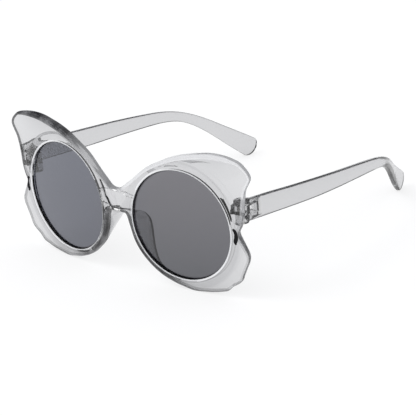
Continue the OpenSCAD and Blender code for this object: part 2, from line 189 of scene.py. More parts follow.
# Curves.
def blend(a, b, c, d, t):
    """A point of the curve that runs from b to c, at the share t of the way."""
    return tuple(
        (2 * q + (r - p) * t + (2 * p - 5 * q + 4 * r - s) * t * t
         + (3 * q - p - 3 * r + s) * t ** 3) / 2
        for p, q, r, s in zip(a, b, c, d))


def curve(knots, steps, before=None, after=None):
    """Points on a smooth curve through the knots."""
    full = [before or knots[0]] + list(knots) + [after or knots[-1]]
    points = [blend(*full[i - 1:i + 3], s / steps)
              for i in range(1, len(knots)) for s in range(steps)]
    return points + [tuple(knots[-1])]


def lookup(x, knots):
    """The value at x in a table of pairs, on straight lines between them."""
    if x <= knots[0][0]:
        return knots[0][1]
    for (a, fa), (b, fb) in zip(knots, knots[1:]):
        if x <= b:
            return fa + (fb - fa) * (x - a) / (b - a)
    return knots[-1][1]


BEND_LEN = BRIDGE_BEND * WRAP
FLAT_LEN = (LENS_X - BRIDGE_BEND * math.sin(WRAP)) / math.cos(WRAP)
MIDDLE_U = -(FLAT_LEN + BEND_LEN)
MIDDLE_Y = -BRIDGE_BEND * (1 - math.cos(WRAP)) - FLAT_LEN * math.sin(WRAP)


def over_middle(k):
    """The same knot on the other half of the front."""
    return (2 * MIDDLE_U - k[0],) + tuple(k[1:])


def polar(r, degrees):
    a = math.radians(degrees)
    return r * math.cos(a), r * math.sin(a)


def arc(steps, start=0.0, end=90.0):
    """Angles in radians along an arc that is given in degrees."""
    return [math.radians(start + (end - start) * i / steps) for i in range(steps + 1)]


def circle_points(r, count, start=0.0, end=360.0):
    return [polar(r, start + (end - start) * i / count) for i in range(count)]


def turned_outline(points, angle):
    c, s = math.cos(angle), math.sin(angle)
    return [(x * c - y * s, x * s + y * c) for x, y in points]


# Outline of half the front: along the plate, up, thickness, share of the sunken panel.
half_knots = (
    [(MIDDLE_U, BRIDGE_LIFT + BRIDGE_H, BRIDGE_T, BRIDGE_SUNK),
     (MIDDLE_U + 3.3, BRIDGE_LIFT + BRIDGE_H + 0.7, BRIDGE_T, BRIDGE_SUNK)]
    + [polar(LENS_R + k[1], k[0]) + (k[2], k[3]) for k in WING_EDGE]
    + [(MIDDLE_U + 5.0, BRIDGE_LIFT - 0.7, BRIDGE_T, BRIDGE_SUNK),
       (MIDDLE_U + 3.0, BRIDGE_LIFT - 0.35, BRIDGE_T, BRIDGE_SUNK),
       (MIDDLE_U, BRIDGE_LIFT, BRIDGE_T, BRIDGE_SUNK)])
half_edge = curve(half_knots, EDGE_STEPS, over_middle(half_knots[1]), over_middle(half_knots[-2]))
LENS_Z = -min(k[1] for k in half_edge) - FOOT_FLAT
SHIFT_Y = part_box("front")[0][1] / MM - MIDDLE_Y


def on_front(u, v, w):
    """A point of the front: u along the plate, v up from the lens centre, w behind the face."""
    if u > -FLAT_LEN:
        x = LENS_X + u * math.cos(WRAP) - w * math.sin(WRAP)
        y = u * math.sin(WRAP) + w * math.cos(WRAP)
    else:
        a = (u - MIDDLE_U) / BRIDGE_BEND
        x = (BRIDGE_BEND - w) * math.sin(a)
        y = MIDDLE_Y + BRIDGE_BEND - (BRIDGE_BEND - w) * math.cos(a)
    return Vector((x, y + SHIFT_Y, LENS_Z + v)) * MM


# Mesh helpers.
def edge_loop(bm, points, closed):
    """The vertices that a shape starts from, joined in a line or a ring."""
    verts = [bm.verts.new(p) for p in points]
    pairs = list(zip(verts, verts[1:])) + ([(verts[-1], verts[0])] if closed else [])
    for a, b in pairs:
        bm.edges.new((a, b))
    return verts


def ring_edges(bm, ring, closed):
    pairs = list(zip(ring, ring[1:])) + ([(ring[-1], ring[0])] if closed else [])
    return [bm.edges.get(pair) for pair in pairs]


def mark_faces(bm, ring, closed, zone, chosen=None):
    """Marks the newest faces along a ring, or the chosen ones of them."""
    for i, edge in enumerate(ring_edges(bm, ring, closed)):
        if chosen is None or i in chosen:
            edge.link_faces[0].material_index = zone


def pull_ring(bm, ring, points, closed, zone=PLAIN):
    """Extrudes a line or ring of vertices, moves the new one and marks the new faces."""
    made = bmesh.ops.extrude_edge_only(bm, edges=ring_edges(bm, ring, closed))["geom"]
    new = {g for g in made if isinstance(g, bmesh.types.BMVert)}
    pulled = []
    for vert, point in zip(ring, points):
        twin = next(e.other_vert(vert) for e in vert.link_edges if e.other_vert(vert) in new)
        twin.co = point
        pulled.append(twin)
    mark_faces(bm, pulled, closed, zone)
    return pulled


def loft(bm, rings, marked=(), zone=PLAIN):
    """A closed skin through rings of points, with a lid at each end."""
    first = ring = edge_loop(bm, rings[0], True)
    for points in rings[1:]:
        ring = pull_ring(bm, ring, points, True)
        mark_faces(bm, ring, True, zone, marked)
    for end in (first, ring):
        bmesh.ops.edgeloop_fill(bm, edges=ring_edges(bm, end, True))
    bmesh.ops.recalc_face_normals(bm, faces=bm.faces[:])


def add_mirrored(bm):
    """Adds the same shape on the other side of the middle plane."""
    copy = bmesh.ops.duplicate(bm, geom=bm.verts[:] + bm.edges[:] + bm.faces[:])["geom"]
    verts = [g for g in copy if isinstance(g, bmesh.types.BMVert)]
    bmesh.ops.scale(bm, vec=(-1, 1, 1), verts=verts)


def turn_over(bm, side):
    """Moves a shape that was made on the wearer's left to the given side."""
    if side < 0:
        bmesh.ops.scale(bm, vec=(-1, 1, 1), verts=bm.verts[:])
        bmesh.ops.recalc_face_normals(bm, faces=bm.faces[:])


def spun(profile, axis, steps):
    """A closed skin from a profile that is spun about an axis through the origin."""
    bm = bmesh.new()
    verts = edge_loop(bm, [Vector(p) * MM for p in profile], False)
    bmesh.ops.spin(bm, geom=verts + bm.edges[:], cent=(0, 0, 0), axis=axis,
                   angle=2 * math.pi, steps=steps, use_merge=True)
    bmesh.ops.remove_doubles(bm, verts=bm.verts[:], dist=WELD)
    bmesh.ops.recalc_face_normals(bm, faces=bm.faces[:])
    return bm


def as_piece(name, bm, *materials):
    mesh = bpy.data.meshes.new(name)
    for made in materials:
        mesh.materials.append(made)
    bm.to_mesh(mesh)
    bm.free()
    piece = bpy.data.objects.new(name, mesh)
    bpy.context.scene.collection.objects.link(piece)
    return piece


def combine(piece, other, operation):
    """Cuts or joins another solid, which is then thrown away."""
    tool = piece.modifiers.new("shape", "BOOLEAN")
    tool.object = other
    tool.operation = operation
    tool.solver = "MANIFOLD"
    graph = bpy.context.evaluated_depsgraph_get()
    mesh = bpy.data.meshes.new_from_object(piece.evaluated_get(graph))
    piece.modifiers.clear()
    piece.data = mesh
    bpy.data.objects.remove(other)


def drop_slivers(piece):
    """Takes out the faces without width that cutting leaves."""
    bm = bmesh.new()
    bm.from_mesh(piece.data)
    many_sided = [face for face in bm.faces if len(face.verts) > 4]
    bmesh.ops.triangulate(bm, faces=many_sided, ngon_method="EAR_CLIP")
    bmesh.ops.dissolve_degenerate(bm, dist=SLIVER, edges=bm.edges[:])
    loose = [edge for edge in bm.edges if not edge.link_faces]
    bmesh.ops.delete(bm, geom=loose, context="EDGES")
    bm.to_mesh(piece.data)
    bm.free()


def smooth(piece):
    piece.data.polygons.foreach_set("use_smooth", [True] * len(piece.data.polygons))
    piece.data.set_sharp_from_angle(angle=math.radians(SMOOTH_ANGLE))


def mark_zones(piece, *names):
    """Keeps the zone of each face as an attribute for the plastic to read."""
    for name in names:
        marks = piece.data.attributes.new(name, "FLOAT", "FACE")
        marks.data.foreach_set("value", [float(face.material_index == ZONES[name])
                                         for face in piece.data.polygons])
    for face in piece.data.polygons:
        face.material_index = 0
    while len(piece.data.materials) > 1:
        piece.data.materials.pop()


def finish_piece(piece, body, node):
    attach(piece, body)
    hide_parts(node)


# The front. A column runs from a place on its outline in towards the opening.
Column = namedtuple("Column", "place outward thick sunk bevel")


def front_columns():
    """Columns along the outline of one half, and columns up the bridge's middle plane."""
    n = len(half_edge)
    columns = []
    for i, k in enumerate(half_edge):
        before = half_edge[i - 1] if i > 0 else over_middle(half_edge[1])
        after = half_edge[i + 1] if i < n - 1 else over_middle(half_edge[-2])
        out = Vector((-(after[1] - before[1]), after[0] - before[0])).normalized()
        here = Vector((k[0], k[1]))
        bevel = min(BEVEL_SHARE * k[2], BEVEL_LIMIT * (here.length - LENS_R))
        columns.append(Column(here, out, k[2], WING_DROP * k[3], bevel))
    cut = []
    for j in range(1, MIDDLE_STEPS):
        v = BRIDGE_LIFT + BRIDGE_H * j / MIDDLE_STEPS
        cut.append(Column(Vector((MIDDLE_U, v)), Vector((-1, 0)), BRIDGE_T,
                          WING_DROP * BRIDGE_SUNK, 0.0))
    return columns, cut


def inset(column, distance, w):
    """A point at some distance inside the outline."""
    p = column.place - column.outward * distance
    return on_front(p.x, p.y, w)


def toward(column, distance, r, gap, w):
    """Where the line from the pole to an inset edge point meets the circle of radius r.

    It stays at least the gap away from the edge point."""
    q = column.place - column.outward * distance - POLE
    length = q.length
    d = q / length
    b = d.dot(POLE)
    s = -b + math.sqrt(b * b + r * r - POLE.dot(POLE))
    p = POLE + d * min(s, length - gap)
    return on_front(p.x, p.y, w)


def between(columns, start, end):
    """The columns whose direction from the lens centre lies between two angles."""
    return [i for i, c in enumerate(columns)
            if start < math.degrees(math.atan2(c.place.y, c.place.x)) < end]


def step_out(column):
    """How much further out the step lies, low on the bridge."""
    u, v = column.place
    if u >= BRIDGE_SIDE or v <= BRIDGE_FOOT:
        return 0
    share = (STEP_OUT_TOP - v) / (STEP_OUT_TOP - STEP_OUT_LOW)
    return STEP_OUT * min(1, max(0, share))


def circle(columns, r, w, gap=0.0):
    """One ring of points at the same radius and depth."""
    return [toward(c, c.bevel, r, gap, w) for c in columns]


def lens_groove():
    """Radius of the groove's floor, and the depth of its front and back walls."""
    return (LENS_R + LENS_SEAT + LENS_EDGE_PLAY, LENS_SET - LENS_EDGE_PLAY,
            LENS_SET + LENS_T + LENS_EDGE_PLAY)


def open_rim(bm, columns, around):
    """From the groove forward over the rounded front edge of the opening."""
    groove_r, groove_from, _ = lens_groove()
    ring = edge_loop(bm, circle(around, groove_r, groove_from), True)
    ring = pull_ring(bm, ring, circle(around, LENS_R, groove_from), True)
    # The opening's inner side gets black painted shade, save where it stays clear.
    for w in ((groove_from + FRONT_LIP) / 2, FRONT_LIP):
        ring = pull_ring(bm, ring, circle(around, LENS_R, w), True, PAINTED_SHADE)
        mark_faces(bm, ring, True, PLAIN, between(columns, CLEAR_FROM, CLEAR_TO))
    # The rounded front edge gets a painted highlight all round.
    for a in arc(6)[1:]:
        rounded = circle(around, LENS_R + FRONT_LIP * (1 - math.cos(a)),
                         FRONT_LIP * (1 - math.sin(a)))
        ring = pull_ring(bm, ring, rounded, True, HIGHLIGHT_LIP)
    # Beyond it the flat face gets the painted highlight too, over part of the way round.
    lip_r, gap = LIP_RING
    ring = pull_ring(bm, ring, circle(around, lip_r, 0, gap), True)
    mark_faces(bm, ring, True, HIGHLIGHT_LIP, between(columns, HIGHLIGHT_FROM, HIGHLIGHT_TO))
    return ring


def wing_face(bm, ring, around):
    """From the ring beyond the rounded front edge over the flat band and the step to the sunken
    panel and the wing's edge.
    """
    for r, gap in PLAIN_RINGS:
        ring = pull_ring(bm, ring, circle(around, r, 0, gap), True)
    for r, gap, share in STEP_RINGS:
        step = [toward(c, c.bevel, r + step_out(c), gap, c.sunk * share) for c in around]
        ring = pull_ring(bm, ring, step, True)
    step_r, gap, _ = STEP_RINGS[-1]
    starts = [toward(c, c.bevel, step_r + step_out(c), gap, c.sunk) for c in around]
    ends = [inset(c, c.bevel, c.sunk) for c in around]
    for share in (0.25, 0.5, 0.75):
        ring = pull_ring(bm, ring, [a.lerp(b, share) for a, b in zip(starts, ends)], True)
    return pull_ring(bm, ring, ends, True)


def wing_edge(bm, line, columns):
    """Round the wing's edge to the back, only along the outline."""
    # These faces form the edge zone; the front's plastic gives it painted shade.
    for a in arc(5)[1:]:
        across, down = 1 - math.sin(a), BEVEL_DEEP * (1 - math.cos(a)) ** BEVEL_POWER
        rounded = [inset(c, c.bevel * across, c.sunk + c.bevel * down) for c in columns]
        line = pull_ring(bm, line, rounded, False, EDGE)
    half_way = [inset(c, 0, (c.sunk + c.bevel * BEVEL_DEEP + c.thick - BACK_ROUND) / 2)
                for c in columns]
    line = pull_ring(bm, line, half_way, False, EDGE)
    for a in arc(6):
        across, down = BACK_ROUND * (1 - math.cos(a)), BACK_ROUND * (1 - math.sin(a))
        line = pull_ring(bm, line, [inset(c, across, c.thick - down) for c in columns], False, EDGE)
    return line


def back_face(bm, line, columns, cut):
    """The back face, closed again across the middle plane, and the back of the groove."""
    middle = edge_loop(bm, [inset(c, 0, c.thick) for c in cut], False)
    bm.edges.new((line[-1], middle[0]))
    bm.edges.new((middle[-1], line[0]))
    ring = line + middle
    around = columns + cut
    starts = [inset(c, BACK_ROUND, c.thick) for c in columns] + [inset(c, 0, c.thick) for c in cut]
    ends = [toward(c, BACK_ROUND, *BACK_RING, RIM_T) for c in around]
    for share in (0.12, 0.25, 0.4, 0.55, 0.7, 0.85, 0.95, 1):
        ring = pull_ring(bm, ring, [a.lerp(b, share) for a, b in zip(starts, ends)], True)
    # Near the hinge a crescent of the back ring and its rounding gets black painted shade.
    shaded = between(columns, SHADED_FROM, SHADED_TO)
    mark_faces(bm, ring, True, PAINTED_SHADE, shaded[2:-2])
    for i, a in enumerate(arc(3)):
        rounded = circle(around, LENS_R + BACK_LIP * (1 - math.sin(a)),
                         RIM_T - BACK_LIP * (1 - math.cos(a)))
        ring = pull_ring(bm, ring, rounded, True)
        if i < 2:
            mark_faces(bm, ring, True, PAINTED_SHADE, shaded)
    groove_r, groove_from, groove_to = lens_groove()
    for r, w in ((LENS_R, groove_to), (groove_r, groove_to), (groove_r, groove_from)):
        ring = pull_ring(bm, ring, circle(around, r, w), True)


def both_halves():
    """The moulding of both rims with the bridge and the wings, before pads and hinges."""
    bm = bmesh.new()
    columns, cut = front_columns()
    around = columns + cut
    ring = open_rim(bm, columns, around)
    ring = wing_face(bm, ring, around)
    line = wing_edge(bm, ring[:len(columns)], columns)
    back_face(bm, line, columns, cut)
    bmesh.ops.remove_doubles(bm, verts=bm.verts[:], dist=WELD)
    add_mirrored(bm)
    bmesh.ops.remove_doubles(bm, verts=bm.verts[:], dist=MIDDLE_WELD)
    bmesh.ops.recalc_face_normals(bm, faces=bm.faces[:])
    return bm


def nose_pads():
    """Both pads, lofted through sections that run from the rim out to the free edge and back."""
    bm = bmesh.new()
    inner, outer = LENS_R + 0.4, LENS_R + 2.1
    rings = []
    for angle, share, beyond in curve(PAD_LINE, 5):
        w = share * PAD_REACH
        tip = LENS_R + beyond
        corners = [
            (outer, PAD_ROOT), (outer + 0.1, RIM_T + min(0.8, 0.3 * (w - RIM_T))),
            ((outer + tip) / 2 + 0.15 * PAD_T, (RIM_T + w) / 2), (tip, w - 0.25 * PAD_T),
            (tip - 0.35 * PAD_T, w), (tip - 0.8 * PAD_T, w - 0.2 * PAD_T),
            ((inner + tip - PAD_T) / 2, (RIM_T + w) / 2), (inner, PAD_ROOT)]
        rings.append([on_front(*polar(r, angle), depth) for r, depth in curve(corners, 3)])
    # The free edge joins the edge zone, and with it the painted shade.
    free_edge = range(9, 14)
    loft(bm, rings, free_edge, EDGE)
    add_mirrored(bm)
    bmesh.ops.recalc_face_normals(bm, faces=bm.faces[:])
    return bm


def curved_dents():
    """A short curved dent in the face of each rim, beside the hinge."""
    bm = bmesh.new()
    line = curve(DENT_LINE, 5)
    sides, turned = 12, 15
    rings = []
    for i, (u, v, r) in enumerate(line):
        before, after = line[max(i - 1, 0)], line[min(i + 1, len(line) - 1)]
        across = Vector((after[1] - before[1], before[0] - after[0])).normalized()
        rings.append([on_front(u + across.x * p, v + across.y * p, q * DENT_DEEP)
                      for p, q in circle_points(r, sides, turned, turned + 360)])
    # All the dent's faces get black painted shade.
    loft(bm, rings, range(sides), PAINTED_SHADE)
    add_mirrored(bm)
    bmesh.ops.recalc_face_normals(bm, faces=bm.faces[:])
    return bm


# The temples.
temple_curve = curve(TEMPLE_LINE, 8)


def temple_knots(column, size):
    """One column of the temple's table as pairs of distance and millimetres."""
    return [(k[0] * TEMPLE_LEN / LINE_LEN, k[column] * size) for k in temple_curve]


drop_knots = temple_knots(1, TEMPLE_DROP)
inward_knots = temple_knots(2, TIP_IN)
height_knots = temple_knots(3, TEMPLE_H)


def slope(y, knots):
    """How fast a table's value grows, per millimetre behind the hinge."""
    return (lookup(y + 1, knots) - lookup(y - 1, knots)) / 2


HINGE_W = RIM_T + FOLD_GAP + KNUCKLE_R
HINGE_X = LENS_X + HINGE_U * math.cos(WRAP) - HINGE_W * math.sin(WRAP)
HINGE_Y = HINGE_U * math.sin(WRAP) + HINGE_W * math.cos(WRAP) + SHIFT_Y
TEMPLE_X = HINGE_X + ROOT_OUT


def temple_stations():
    """Distance behind the hinge and height of each section, up to the rounded tip."""
    tip_along = TIP_ROUND * math.cos(math.atan(slope(TEMPLE_LEN, drop_knots)))
    tip_from = TEMPLE_LEN - tip_along
    along = [-ROOT_Y + (tip_from + ROOT_Y) * i / TEMPLE_STEPS for i in range(TEMPLE_STEPS + 1)]
    rows = [(y, lookup(y, height_knots)) for y in along]
    for a in (math.radians(10 + 8 * i) for i in range(10)):
        rows.append((tip_from + tip_along * math.sin(a),
                     lookup(tip_from, height_knots) * math.cos(a) ** (2 / TIP_POWER)))
    return rows


stations = temple_stations()


def section_yz(station, f):
    """Distance behind the hinge and height of the point at the share f up a section."""
    y, h = station
    b = math.atan(slope(y, drop_knots))
    o = (f - 0.5) * h
    return y + o * math.sin(b), -lookup(y, drop_knots) + o * math.cos(b)


ROOT_Z = -min(section_yz(station, 0)[1] for station in stations)
HINGE_Z = ROOT_Z - HINGE_LOW
LUG_TOP = HINGE_Z + LUG_UP
LUG_BOTTOM = HINGE_Z - LUG_DOWN


def on_temple(station, f, n):
    """A point of the left temple: the share f up its section, n inside its outer face."""
    py, pz = section_yz(station, f)
    a = math.atan(slope(py, inward_knots))
    return Vector((TEMPLE_X - lookup(py, inward_knots) - n * math.cos(a),
                   HINGE_Y + py - n * math.sin(a), ROOT_Z + pz)) * MM


def temple_ring(station):
    """One section, from the outer face over the upper edge to the inner face and back below."""
    h = station[1]
    r = min(TEMPLE_ROUND, h / 4)
    corners = ((1 - r / h, r), (1 - r / h, TEMPLE_T - r), (r / h, TEMPLE_T - r), (r / h, r))
    points = []
    for turn, (f, n) in enumerate(corners):
        for a in arc(4, turn * 90, turn * 90 + 90):
            points.append(on_temple(station, f + r / h * math.sin(a), n - r * math.cos(a)))
    return points


def temple_solid(side):
    bm = bmesh.new()
    loft(bm, [temple_ring(s) for s in stations])
    turn_over(bm, side)
    return bm


def for_side(side, outline):
    """An outline that is drawn for the left hinge, on the given side."""
    return [(px * side, py) for px, py in outline]


def bar(side, outline, z0, z1, bevel=0.0):
    """An upright bar at the hinge, with its outline round the hinge's axis and softened rims."""
    bm = bmesh.new()
    base = edge_loop(bm, [Vector((HINGE_X * side + px, HINGE_Y + py, z0)) * MM
                          for px, py in outline], True)
    face = bmesh.ops.edgeloop_fill(bm, edges=ring_edges(bm, base, True))["faces"]
    made = bmesh.ops.extrude_face_region(bm, geom=face)["geom"]
    top = [g for g in made if isinstance(g, bmesh.types.BMVert)]
    bmesh.ops.translate(bm, vec=(0, 0, (z1 - z0) * MM), verts=top)
    bmesh.ops.recalc_face_normals(bm, faces=bm.faces[:])
    rims = [e for e in bm.edges if abs(e.verts[0].co.z - e.verts[1].co.z) < 1e-9]
    if bevel:
        bmesh.ops.bevel(bm, geom=rims, offset=bevel * MM, offset_type="OFFSET", segments=2,
                        profile=0.5, affect="EDGES", material=-1)
    return bm


def combine_bar(piece, operation, *shape):
    """Joins a bar to a moulded piece or cuts it out, with its faces in the hinge zone."""
    bm = bar(*shape)
    for face in bm.faces:
        face.material_index = HINGE
    combine(piece, as_piece("bar", bm, *front_zones), operation)


def add_bar(piece, *shape):
    combine_bar(piece, "UNION", *shape)


def cut_bar(piece, *shape):
    combine_bar(piece, "DIFFERENCE", *shape)


def add_hinges(front):
    """The middle knuckle of each hinge and its foot, moulded with the front."""
    k = KNUCKLE_R
    foot = [(k * 0.7, FOOT_W - HINGE_W), (k * 0.7, 0), (-k * 0.6, k * 0.6), (-k * 1.03, 0),
            (-k * 1.07, -k * 0.6), (-k * 1.1, FOOT_W - HINGE_W)]
    foot = turned_outline(foot, WRAP)
    bore = circle_points(SCREW_D / 2 + SCREW_RUN, 32)
    z0, z1 = HINGE_Z - KNUCKLE_H / 2, HINGE_Z + KNUCKLE_H / 2
    for side in (1, -1):
        add_bar(front, side, for_side(side, foot), z0, z1, FOOT_BEVEL)
        add_bar(front, side, circle_points(k, 48), z0, z1, KNUCKLE_BEVEL)
        cut_bar(front, side, bore, z0 - 5, z1 + 5)


def add_fork(temple, side):
    """The temple's two knuckles and their web, slotted for the front's knuckle."""
    k = KNUCKLE_R
    reach = ROOT_OUT - TEMPLE_T / 2 - WEB_LOW
    back = k + SLOT_BACK + 0.5
    web = [(0, -k * 0.8), (reach, -ROOT_Y * 0.8), (reach, back + 5.5), (reach - 0.25, back + 4.0),
           (reach - 0.7, back + 2.6), (reach - 1.4, back + 1.3), (reach - 2.4, back + 0.4),
           (reach - 3.6, back), (k * 0.4, back), (-k * 0.6, k * 0.6)]
    web = for_side(side, web)
    add_bar(temple, side, web, HINGE_Z - WEB_DOWN, LUG_TOP - WEB_LOW, WEB_BEVEL)
    add_bar(temple, side, circle_points(k, 48), LUG_BOTTOM, LUG_TOP, LUG_BEVEL)
    half_slot = KNUCKLE_H / 2 + HINGE_GAP
    slot_x, slot_y = ROOT_OUT - SLOT_SKIN, k + SLOT_BACK
    slot = [(-10, -10), (slot_x, -10), (slot_x, slot_y), (slot_x - SLOT_BAR, slot_y - SLOT_STEP),
            (-10, slot_y - SLOT_STEP)]
    cut_bar(temple, side, for_side(side, slot), HINGE_Z - half_slot, HINGE_Z + half_slot)
    cut_bar(temple, side, circle_points(SCREW_D / 2, 32), LUG_BOTTOM - 3, LUG_TOP + 3)
    seat = circle_points(HEAD_D / 2 + SCREW_RUN, 32)
    cut_bar(temple, side, seat, LUG_TOP - HEAD_H, LUG_TOP + 5)


def mark_root(temple):
    """The root belongs to the hinge zone; the outer end of its slot gets black painted shade, a
    bar.
    """
    wall_y = (HINGE_Y + KNUCKLE_R + SLOT_BACK) * MM
    bar_x = (HINGE_X + ROOT_OUT - SLOT_SKIN - SLOT_BAR) * MM
    for face in temple.data.polygons:
        on_wall = abs(face.center.y - wall_y) < 1e-4 and abs(face.normal.y) > 0.9
        if on_wall and abs(face.center.x) > bar_x:
            face.material_index = PAINTED_SHADE
        elif face.center.y < (HINGE_Y - 0.5) * MM:
            face.material_index = HINGE


# Lenses and screws.
def lens_solid(side):
    """A domed disc, spun about the lens axis and put in its place."""
    edge_r = LENS_R + LENS_SEAT
    sag = LENS_CURVE - math.sqrt(LENS_CURVE ** 2 - edge_r ** 2)
    rows = 14

    def face_point(r, curve_r):
        return r, LENS_SET - sag + LENS_CURVE - math.sqrt(curve_r ** 2 - r * r), 0

    radii = [edge_r * i / rows for i in range(rows + 1)]
    profile = [face_point(r, LENS_CURVE) for r in radii] + [(edge_r, LENS_SET + LENS_T, 0)]
    profile += [face_point(r, LENS_CURVE - LENS_T) for r in radii[-2::-1]]
    bm = spun(profile, (0, 1, 0), 128)
    place = (Matrix.Translation(Vector((LENS_X, SHIFT_Y, LENS_Z)) * MM)
             @ Matrix.Rotation(WRAP, 4, "Z"))
    bmesh.ops.transform(bm, matrix=place, verts=bm.verts[:])
    turn_over(bm, side)
    return bm


def screw_solid(side):
    """A screw with a rounded head and a few grooves, spun about the hinge axis."""
    low, high = LUG_BOTTOM, LUG_TOP
    r, head = SCREW_D / 2 - SCREW_FIT, HEAD_D / 2
    neck = high - HEAD_H
    profile = [(0, low), (r - 0.15, low), (r, low + 0.15)]
    z = low + GROOVES_FROM
    while z < low + GROOVES_TO:
        profile += [(r, z), (r - GROOVE_DEEP, z + 0.1), (r, z + 0.2)]
        z += GROOVE_STEP
    profile += [(r, neck), (head - 0.08, neck), (head, neck + 0.08), (head, high - 0.25),
                (head - 0.1, high - 0.1), (head - 0.35, high - 0.02), (0, high)]
    bm = spun([(p, 0, q) for p, q in profile], (0, 0, 1), 40)
    bmesh.ops.translate(bm, vec=Vector((HINGE_X * side, HINGE_Y, 0)) * MM, verts=bm.verts[:])
    return bm


def driver_slot(side):
    half = DRIVER_SLOT / 2
    across = [(-HEAD_D, -half), (HEAD_D, -half), (HEAD_D, half), (-HEAD_D, half)]
    return as_piece("driver_slot", bar(side, across, LUG_TOP - DRIVER_SLOT, LUG_TOP + 1), steel)


# Materials. Lengths are in metres from here on.
def grey(value, blue=0.0):
    """A neutral grey, with a touch more blue where it is given."""
    return value, value, value + blue, 1


# Colours of the moulding, from its clear plastic to its darkest edge. The clear ones and the depth
# are the plastic's own;
# the lip's white is a painted highlight, and the grey low on the rims, its line, the edge's tones
# and the black are painted shade.
FRONT_CLEAR = grey(0.91, 0.005)
TEMPLE_CLEAR = grey(0.785, 0.005)
HINGE_CLEAR = (1.0, 1.0, 0.99, 1)
HIGHLIGHT_WHITE = grey(0.92)
LOW_RIM_SHADE = (0.80, 0.80, 0.81, 1)
RIM_SHADE_LINE = grey(0.45)
EDGE_SHADE_PALE = (0.19, 0.19, 0.195, 1)
EDGE_SHADE_DARK = (0.02, 0.02, 0.022, 1)
SHADE_BLACK = (0.012, 0.012, 0.013, 1)
PLASTIC_DEPTH = (0.5, 0.505, 0.52, 1)
PLASTIC_DENSITY = 170
# The lens tint, low and high, paler high up as a painted reflection: on the wearer's right, on the
# wearer's left; then the painted shade at its rim.
RIGHT_TINT_AND_REFLECTION = (0.127, 0.133, 0.161, 1), (0.152, 0.159, 0.190, 1)
LEFT_TINT_AND_REFLECTION = (0.118, 0.120, 0.133, 1), (0.174, 0.171, 0.187, 1)
TINT_RIM_SHADE = (0.03, 0.03, 0.035, 1)
STEEL = (0.62, 0.60, 0.57, 1)
WHITE = grey(1)

# Between which heights the painted shade low on the front's edge goes over into that of the wings.
EDGE_LOW, EDGE_HIGH = 0.038, 0.046
# Share of the painted shade on the edge across the object, above and below these heights: from, to
# and values.
EDGE_SHADE_ABOVE = (-0.006, 0.004, 1.0, 0.75)
EDGE_SHADE_BELOW = (0.036, 0.026, 0.4)
# Streaks in the edge's painted shade, and its two paler stretches on the wings' upper edge: from,
# to, tone.
SHADE_STREAKS = (0.35, 0.65)
PALE_SHADE_STRETCHES = ((-0.034, -0.018, 0.45), (-0.004, 0.004, 0.85))
# The painted shade low on the rims, a deeper grey: fades over these distances from the lens axis
# and heights.
RIM_SHADE_REACH, RIM_SHADE_HEIGHT = (0.0315, 0.0300), (0.044, 0.030)
# The fine line of painted shade in it: distances from the lens axis over which it starts and ends.
SHADE_LINE_START, SHADE_LINE_END = (0.02680, 0.02695), (0.02735, 0.02715)
# The lens tint: changes over this width, grows paler upwards over this height as a painted
# reflection, and darkens at its rim with painted shade.
TINT_WIDTH, REFLECTION_HEIGHT, TINT_SHADE_REACH = (-0.02, 0.02), (0.005, 0.055), (0.0252, 0.0256)


def material(name, **values):
    made = bpy.data.materials.new(name)
    made.use_nodes = True
    shader = made.node_tree.nodes["Principled BSDF"]
    for socket, value in values.items():
        shader.inputs[socket.replace("_", " ")].default_value = value
    return made, made.node_tree, shader


def set_looks(tree, shader, looks):
    for socket, value in looks.items():
        tree.links.new(value, shader.inputs[socket])


def own_place(tree):
    """The point in the object's own frame."""
    return tree.nodes.new("ShaderNodeTexCoord").outputs["Object"]


def apart(tree, point):
    """The three numbers of a point or direction."""
    parts = tree.nodes.new("ShaderNodeSeparateXYZ")
    tree.links.new(point, parts.inputs[0])
    return parts.outputs


def work_out(tree, operation, *values):
    """One number worked out from one or two others."""
    made = tree.nodes.new("ShaderNodeMath")
    made.operation = operation
    for socket, value in zip(made.inputs, values):
        if isinstance(value, bpy.types.NodeSocket):
            tree.links.new(value, socket)
        else:
            socket.default_value = value
    return made.outputs[0]


def product(tree, first, second):
    return work_out(tree, "MULTIPLY", first, second)


def change(tree, factor, start, end):
    """A value or colour that changes from start to end with the factor."""
    mix = tree.nodes.new("ShaderNodeMix")
    first, last, out = 2, 3, 0
    if isinstance(end, tuple) or getattr(end, "type", "") == "RGBA":
        mix.data_type = "RGBA"
        first, last, out = 6, 7, 2
    tree.links.new(factor, mix.inputs["Factor"])
    for place, value in ((first, start), (last, end)):
        if isinstance(value, bpy.types.NodeSocket):
            tree.links.new(value, mix.inputs[place])
        else:
            mix.inputs[place].default_value = value
    return mix.outputs[out]


def spread(tree, source, start, end, low=0.0, high=1.0):
    """Goes from low to high while the source goes from start to end."""
    part = tree.nodes.new("ShaderNodeMapRange")
    tree.links.new(source, part.inputs["Value"])
    for name, value in zip(("From Min", "From Max", "To Min", "To Max"), (start, end, low, high)):
        part.inputs[name].default_value = value
    return part.outputs["Result"]


def zone_mark(tree, name):
    mark = tree.nodes.new("ShaderNodeAttribute")
    mark.attribute_name = name
    return mark.outputs["Fac"]


def noise(tree, point, scale, detail):
    made = tree.nodes.new("ShaderNodeTexNoise")
    made.inputs["Scale"].default_value = scale
    made.inputs["Detail"].default_value = detail
    tree.links.new(point, made.inputs["Vector"])
    return made.outputs["Fac"]


def surface_ripple(tree, shader, point, scale, strength, distance):
    """Slight waviness of a moulded and polished surface."""
    bump = tree.nodes.new("ShaderNodeBump")
    bump.inputs["Strength"].default_value = strength
    bump.inputs["Distance"].default_value = distance
    tree.links.new(noise(tree, point, scale, 2), bump.inputs["Height"])
    tree.links.new(bump.outputs["Normal"], shader.inputs["Normal"])


